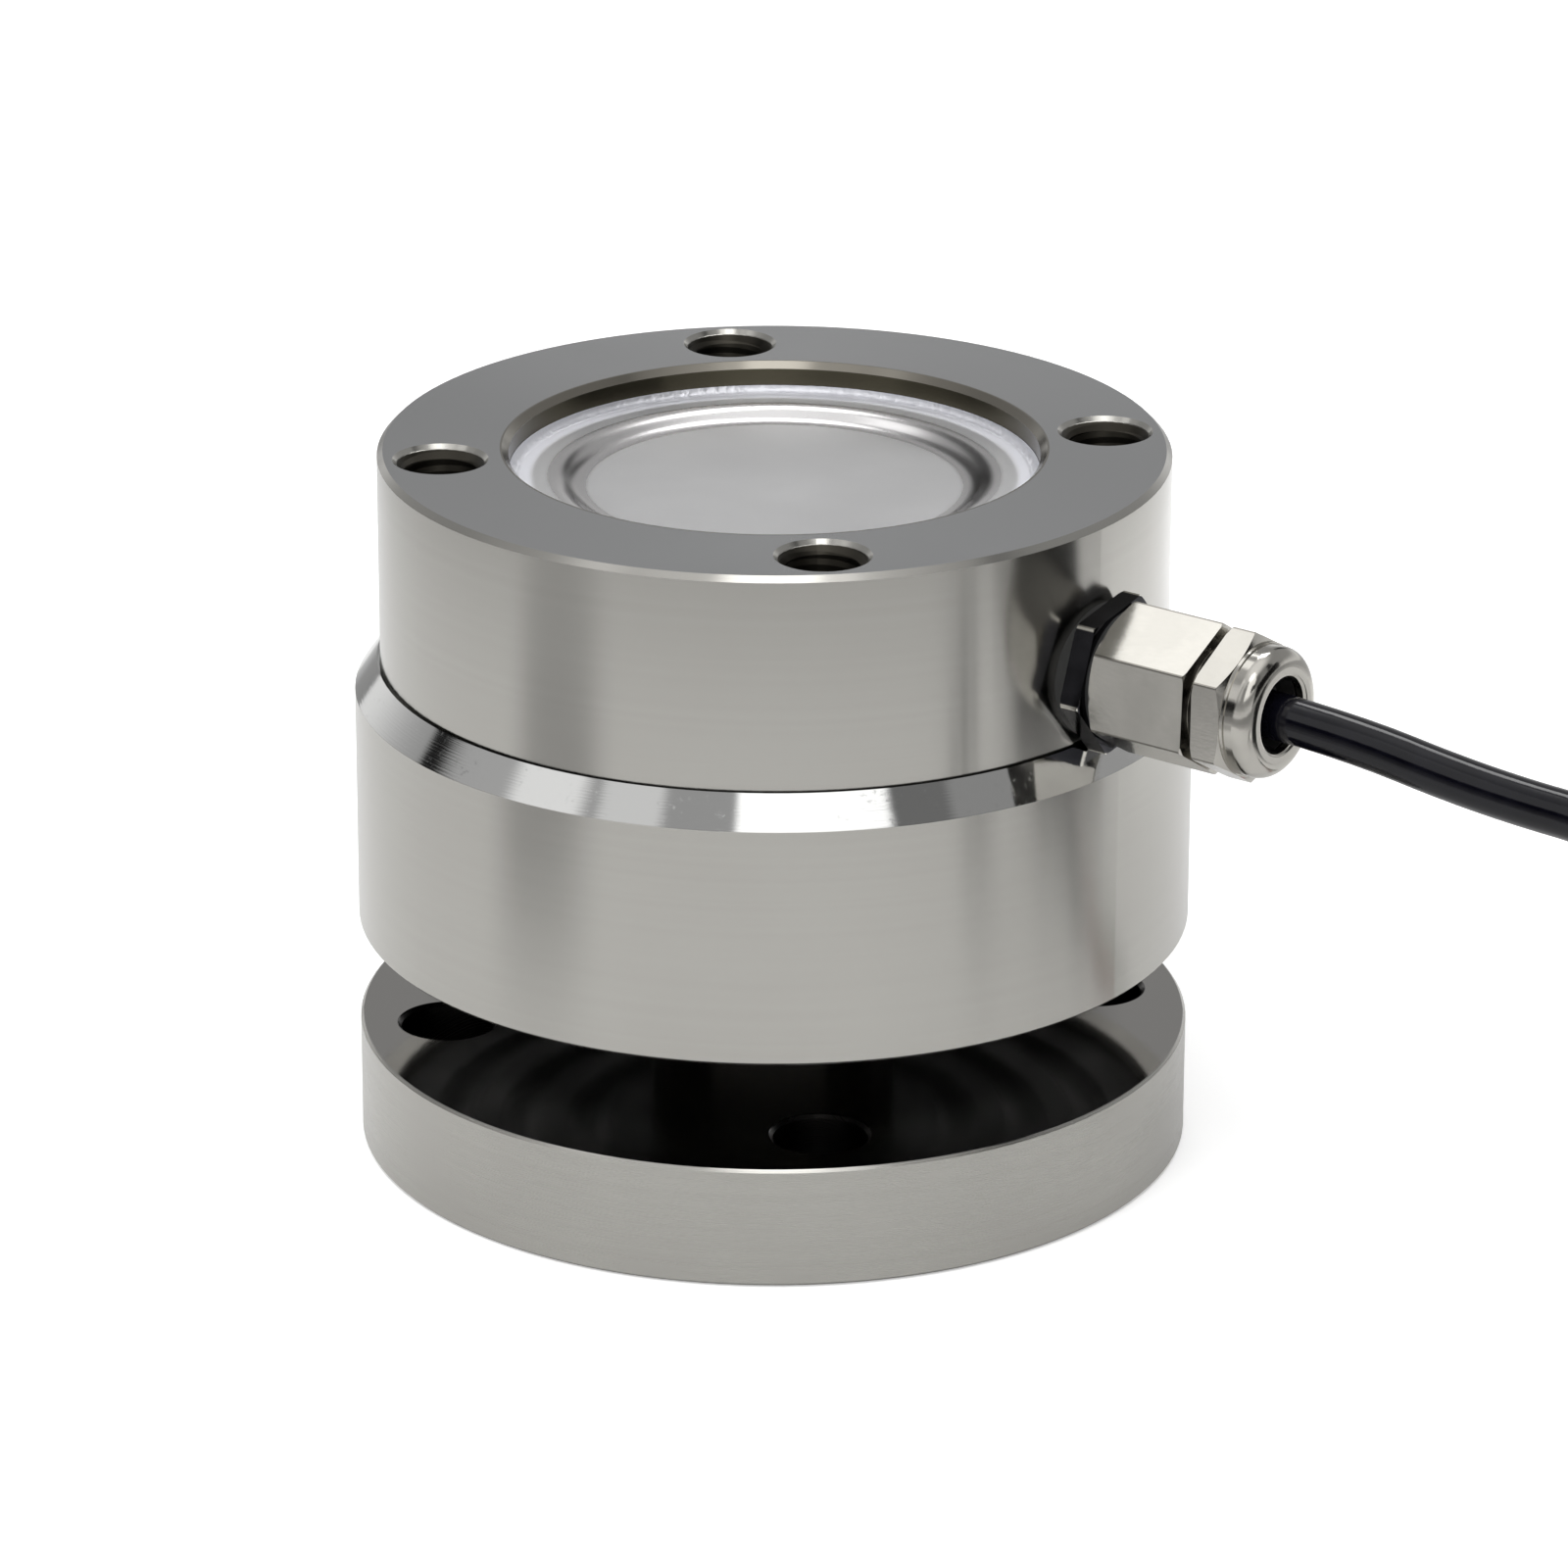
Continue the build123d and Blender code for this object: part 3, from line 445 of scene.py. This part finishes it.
def nickel(name, colour):
    """Nickel plate, with painted shade in a fine line where two faces of the hexagon meet,
    standing in for a rounded edge's dark reflection.
    """
    made = plated(name, colour, 0.14, 0.92)
    # painted shade along the hexagon's corners
    made.recolour(corners(made, 0.01051, 0.00003), (0.22, 0.21, 0.19))
    return made


# Gland: plated cap and body, whose thread in the gap before the cap is painted dark as painted
# shade, and a black lock nut with painted glints along its corners
wear(nickel("nickel_plate", (0.47, 0.455, 0.42)), "gland_cap_nut")
paint = nickel("nickel_plate_body", (0.54, 0.525, 0.485))
# painted shade: the body's thread in the gap before the cap is painted near black
paint.recolour(paint.above(paint.x, 0.07411, 0.00002), (0.035, 0.033, 0.03))
wear(paint, "gland_body")
paint = plated("black_nickel", (0.045, 0.045, 0.052), 0.13, 0.5)
# painted glints: the nut's corners are painted bright, standing in for light caught on rounded
# edges
paint.recolour(corners(paint, 0.01080, 0.00005), (0.86, 0.84, 0.78))
wear(paint, "gland_lock_nut")

# Small metal pieces
wear(plated("screw_steel", (0.52, 0.52, 0.52), 0.24, 0.85), "foot_screws", "board_screws")
wear(plated("spacer_brass", (0.78, 0.62, 0.32), 0.25, 0.85), "board_spacers")
wear(plated("tinned_wire", (0.66, 0.66, 0.65), 0.30, 0.85), "tinned_ends")


def moulded(name, colour, roughness, grain, sheen=0.0):
    """Moulded plastic or rubber: a slight grain, and gloss that varies by a quarter."""
    made = Paint(name, colour, 0.0, roughness)
    patches = made.noise(140.0, 3.0)
    made.feed("Roughness", made.spread(patches, 0.3, 0.7, roughness * 0.75, roughness * 1.25))
    deep = tuple(value * 0.82 for value in colour)
    made.feed("Base Color", made.tint(made.spread(patches, 0.3, 0.7), deep, colour))
    made.bump(made.noise(grain, 3.0), 0.18, 0.00012)
    made.set("Sheen Weight", sheen)
    return made


# Rubber and plastics: material, colour, roughness, scale of the grain, and who wears it
wear(
    moulded("black_rubber", (0.022, 0.022, 0.022), 0.62, 2600.0, sheen=0.1),
    "gland_wall_seal",
    "gland_gasket",
    "gland_seal_insert",
)
for name, colour, roughness, grain, wearers in (
    ("cage_plastic", (0.03, 0.03, 0.03), 0.45, 1800.0, ["gland_clamp_cage"]),
    ("tie_plastic", (0.020, 0.020, 0.021), 0.42, 2200.0, ["coil_ties"]),
    ("shrunk_sleeve", (0.016, 0.016, 0.017), 0.38, 1500.0, ["cable_end_sleeve"]),
    ("drain_sleeving", (0.018, 0.018, 0.018), 0.40, 1500.0, ["shield_drain"]),
    ("core_red", (0.50, 0.018, 0.014), 0.34, 1500.0, ["core_red"]),
    ("core_black", (0.018, 0.018, 0.018), 0.34, 1500.0, ["core_black"]),
    ("core_green", (0.016, 0.24, 0.07), 0.34, 1500.0, ["core_green"]),
    ("core_white", (0.72, 0.72, 0.69), 0.34, 1500.0, ["core_white"]),
    ("inner_jackets", (0.35, 0.34, 0.31), 0.38, 1500.0, ["inner_cores", "gauge_leads"]),
    ("resistor_black", (0.025, 0.025, 0.03), 0.40, 2600.0, ["trim_resistors"]),
    ("terminal_laminate", (0.55, 0.47, 0.27), 0.45, 1600.0, ["gauge_terminals"]),
):
    wear(moulded(name, colour, roughness, grain), *wearers)

# Board: green lacquer over faint copper tracks
paint = Paint("board_green", (0.012, 0.12, 0.04), 0.0, 0.30)
tracks = paint.node("ShaderNodeTexVoronoi", feature="DISTANCE_TO_EDGE")
paint.link(paint.place, tracks.inputs["Vector"])
tracks.inputs["Scale"].default_value = 190.0
edge = paint.spread(tracks.outputs[0], 0.06, 0.10, 1.0, 0.0)
paint.feed("Base Color", paint.tint(edge, (0.010, 0.10, 0.035), (0.03, 0.21, 0.07)))
paint.bump(edge, 0.3, 0.00004)
wear(paint, "circuit_board")

# Gauge foil: amber film with a fine grid
paint = Paint("gauge_foil", (0.50, 0.26, 0.06), 0.2, 0.30)
grid = paint.math("SINE", paint.times(paint.add(paint.x, paint.y), 14000.0))
shade = paint.spread(grid, -0.4, 0.4)
paint.feed("Base Color", paint.tint(shade, (0.30, 0.14, 0.03), (0.58, 0.34, 0.11)))
paint.bump(shade, 0.2, 0.00002)
wear(paint, "strain_gauges")

# Cable jacket: smooth black, slight gloss, very faint waves along it
paint = Paint("cable_jacket", (0.005, 0.005, 0.008), 0.0, 0.20)
waves = paint.noise(260.0, 3.0)
grain = paint.noise(3200.0, 2.0)
paint.feed("Roughness", paint.spread(waves, 0.3, 0.7, 0.08, 0.12))
tone = paint.tint(paint.spread(waves, 0.3, 0.7), (0.002, 0.002, 0.004), (0.004, 0.004, 0.007))
paint.feed("Base Color", tone)
paint.bump(paint.add(waves, paint.times(grain, 0.2)), 0.12, 0.00015)
paint.set("Specular IOR Level", 0.32)
cable.data.materials.append(paint.material)
# the stored length, out of the photograph's view, stays out of the metal's reflections too
cable.visible_glossy = False

# World: a pale room that only reflections and light see, with its panels and dark flags.
# Bearings go round from where the photographer stands, and grow to their right.
AHEAD = (0.60070, -0.79947)
ASIDE = (0.79947, 0.60070)
world = bpy.data.worlds.new("studio")
scene.world = world
world.use_nodes = True
studio = Graph(world.node_tree)
dir_x, dir_y, dir_z = studio.axes(studio.node("ShaderNodeTexCoord").outputs["Generated"])
ahead = studio.add(studio.times(dir_x, AHEAD[0]), studio.times(dir_y, AHEAD[1]))
aside = studio.add(studio.times(dir_x, ASIDE[0]), studio.times(dir_y, ASIDE[1]))
bearing = studio.times(studio.math("ARCTAN2", aside, ahead), 180 / math.pi)
lift = studio.times(studio.math("ARCSINE", dir_z), 180 / math.pi)
# the wall is pale low down and darker above, and the ceiling is brighter again
wall = studio.spread(lift, 2.0, 20.0, 0.95, 0.42)
room = studio.add(wall, studio.spread(lift, 48.0, 78.0, 0.0, 0.9))
# its panels and flags, each from a bearing to a bearing and from a height to a height, in
# degrees, with its soft edge and the strength that it adds or takes
for left, right, low, high, soft, amount in (
    (-12.0, 38.0, 28.0, 66.0, 1.5, 1.30),
    (20.0, 39.0, 31.0, 43.0, 1.2, -1.72),
    (-56.0, -36.0, 28.0, 60.0, 2.0, 0.42),
    (-61.0, -57.5, 26.0, 60.0, 1.0, 0.04),
    (-83.0, -61.0, 22.0, 60.0, 3.0, 0.64),
    (-108.0, -83.0, 22.0, 60.0, 3.0, 0.10),
    (39.0, 57.0, 29.0, 60.0, 2.0, -0.22),
    (57.0, 78.0, 29.0, 60.0, 3.0, -0.08),
    (79.0, 92.0, 29.0, 52.0, 1.2, -0.39),
    (50.0, 100.0, 1.0, 27.0, 2.0, -0.90),
    (-153.0, -124.0, 48.0, 63.0, 2.5, 1.25),
    (-171.0, -153.0, 4.0, 44.0, 2.5, -0.36),
    (-176.0, -155.0, 3.0, 16.0, 1.5, -0.40),
    (157.0, 166.0, 3.0, 30.0, 1.2, -0.40),
    (-28.0, 25.0, 64.0, 76.0, 2.0, 2.30),
    (-112.0, -58.0, -3.0, 23.0, 3.0, -0.75),
    (155.0, 181.0, 48.0, 61.0, 1.5, 5.0),
    (-181.0, -167.0, 46.0, 59.0, 1.5, 5.0),
):
    across = studio.band(bearing, left - soft, left + soft, right - soft, right + soft)
    upright = studio.band(lift, low - soft, low + soft, high - soft, high + soft)
    room = studio.add(room, studio.times(studio.times(across, upright), amount))
room = studio.most(room, 0.01)
shine = studio.node("ShaderNodeBackground")
shine.inputs["Color"].default_value = (1.0, 1.0, 1.0, 1.0)
studio.link(room, shine.inputs["Strength"])
# white to the camera
white = studio.node("ShaderNodeBackground")
white.inputs["Color"].default_value = (1.0, 1.0, 1.0, 1.0)
white.inputs["Strength"].default_value = 1.0
rays = studio.node("ShaderNodeLightPath").outputs
seen = studio.most(rays["Is Camera Ray"], rays["Is Transmission Ray"])
pick = studio.node("ShaderNodeMixShader")
studio.link(seen, pick.inputs[0])
studio.link(shine.outputs[0], pick.inputs[1])
studio.link(white.outputs[0], pick.inputs[2])
studio.link(pick.outputs[0], studio.node("ShaderNodeOutputWorld").inputs[0])

# Lamp, over the photographer's shoulder
LAMP_PLACE = Vector((0.1, -0.9, 1.5))
LAMP_AIM = Vector((0.03, 0.0, 0.05))
lamp_data = bpy.data.lights.new("key_lamp", "AREA")
lamp_data.shape = "RECTANGLE"
lamp_data.size = 1.0
lamp_data.size_y = 0.7
lamp_data.energy = 9.0
lamp = bpy.data.objects.new("key_lamp", lamp_data)
scene.collection.objects.link(lamp)
lamp.location = LAMP_PLACE
lamp.rotation_mode = "QUATERNION"
lamp.rotation_quaternion = (LAMP_AIM - LAMP_PLACE).to_track_quat("-Z", "Y")
lamp.visible_glossy = False

# Floor: pale paper that turns white to the camera further out
FLOOR_HALF = 6
floor_mesh = bpy.data.meshes.new("floor")
floor_corners = [
    (-FLOOR_HALF, -FLOOR_HALF, 0),
    (FLOOR_HALF, -FLOOR_HALF, 0),
    (FLOOR_HALF, FLOOR_HALF, 0),
    (-FLOOR_HALF, FLOOR_HALF, 0),
]
floor_mesh.from_pydata(floor_corners, [], [(0, 1, 2, 3)])
floor = bpy.data.objects.new("floor", floor_mesh)
scene.collection.objects.link(floor)
floor.location.z = -0.0002
floor_paint = bpy.data.materials.new("pale_floor")
floor_paint.use_nodes = True
paper = Graph(floor_paint.node_tree)
place = paper.node("ShaderNodeTexCoord").outputs["Object"]
floor_x, floor_y = paper.axes(place)[:2]
centre_distance = paper.node("ShaderNodeVectorMath", operation="LENGTH")
paper.link(place, centre_distance.inputs[0])
out_from = centre_distance.outputs["Value"]
azimuth = paper.math("ARCTAN2", floor_y, floor_x)
rays = paper.node("ShaderNodeLightPath").outputs
seen = paper.most(rays["Is Camera Ray"], rays["Is Transmission Ray"])
glossy = rays["Is Glossy Ray"]


def spot(x, y, inner, outer, amount):
    """This amount within the inner distance of a point on the floor, nought beyond the outer."""
    away = paper.length(paper.take(floor_x, x), paper.take(floor_y, y))
    return paper.spread(away, inner, outer, amount, 0.0)


fade = paper.spread(out_from, 0.30, 0.60)
shade = paper.tint(fade, (0.83, 0.83, 0.83), (0.50, 0.50, 0.50))
# dark flags that only the metal sees: one beside the object, the far floor, and two small
# ones for the lower faces of the gland's cap and body
flag = paper.times(
    paper.band(azimuth, 0.18, 0.28, 0.62, 0.68),
    paper.band(out_from, 0.200, 0.240, 0.90, 1.10),
)
flag = paper.most(flag, paper.spread(out_from, 0.29, 0.37, 0.0, 0.42))
under_body = spot(-0.100, -0.246, 0.030, 0.080, 0.50)
under_cap = spot(-0.071, -0.198, 0.025, 0.065, 0.50)
flag = paper.most(flag, paper.most(under_body, under_cap))
flag = paper.times(flag, glossy)
diffuse = paper.node("ShaderNodeBsdfDiffuse")
paper.link(paper.tint(flag, shade, (0.02, 0.02, 0.02)), diffuse.inputs["Color"])
# to the camera the floor is lifted towards white
to_camera = paper.times(seen, paper.spread(fade, 0.0, 1.0, 0.42, 0.80))
# to the metal it is lifted behind the object on the right, and in the coil's own shadow
lifted = paper.times(
    paper.band(azimuth, 0.75, 0.95, 2.2, 2.6),
    paper.spread(out_from, 0.20, 0.25, 0.0, 0.34),
)
filled = spot(0.258, 0.018, 0.035, 0.062, 0.50)
to_metal = paper.times(glossy, paper.add(paper.add(lifted, filled), 0.06))
to_metal = paper.times(to_metal, paper.rest(flag))
glow = paper.node("ShaderNodeEmission")
paper.link(paper.add(to_camera, to_metal), glow.inputs["Strength"])
both = paper.node("ShaderNodeAddShader")
paper.link(diffuse.outputs[0], both.inputs[0])
paper.link(glow.outputs[0], both.inputs[1])
paper.link(both.outputs[0], paper.node("ShaderNodeOutputMaterial").inputs[0])
floor_mesh.materials.append(floor_paint)

scene.view_settings.view_transform = "Standard"
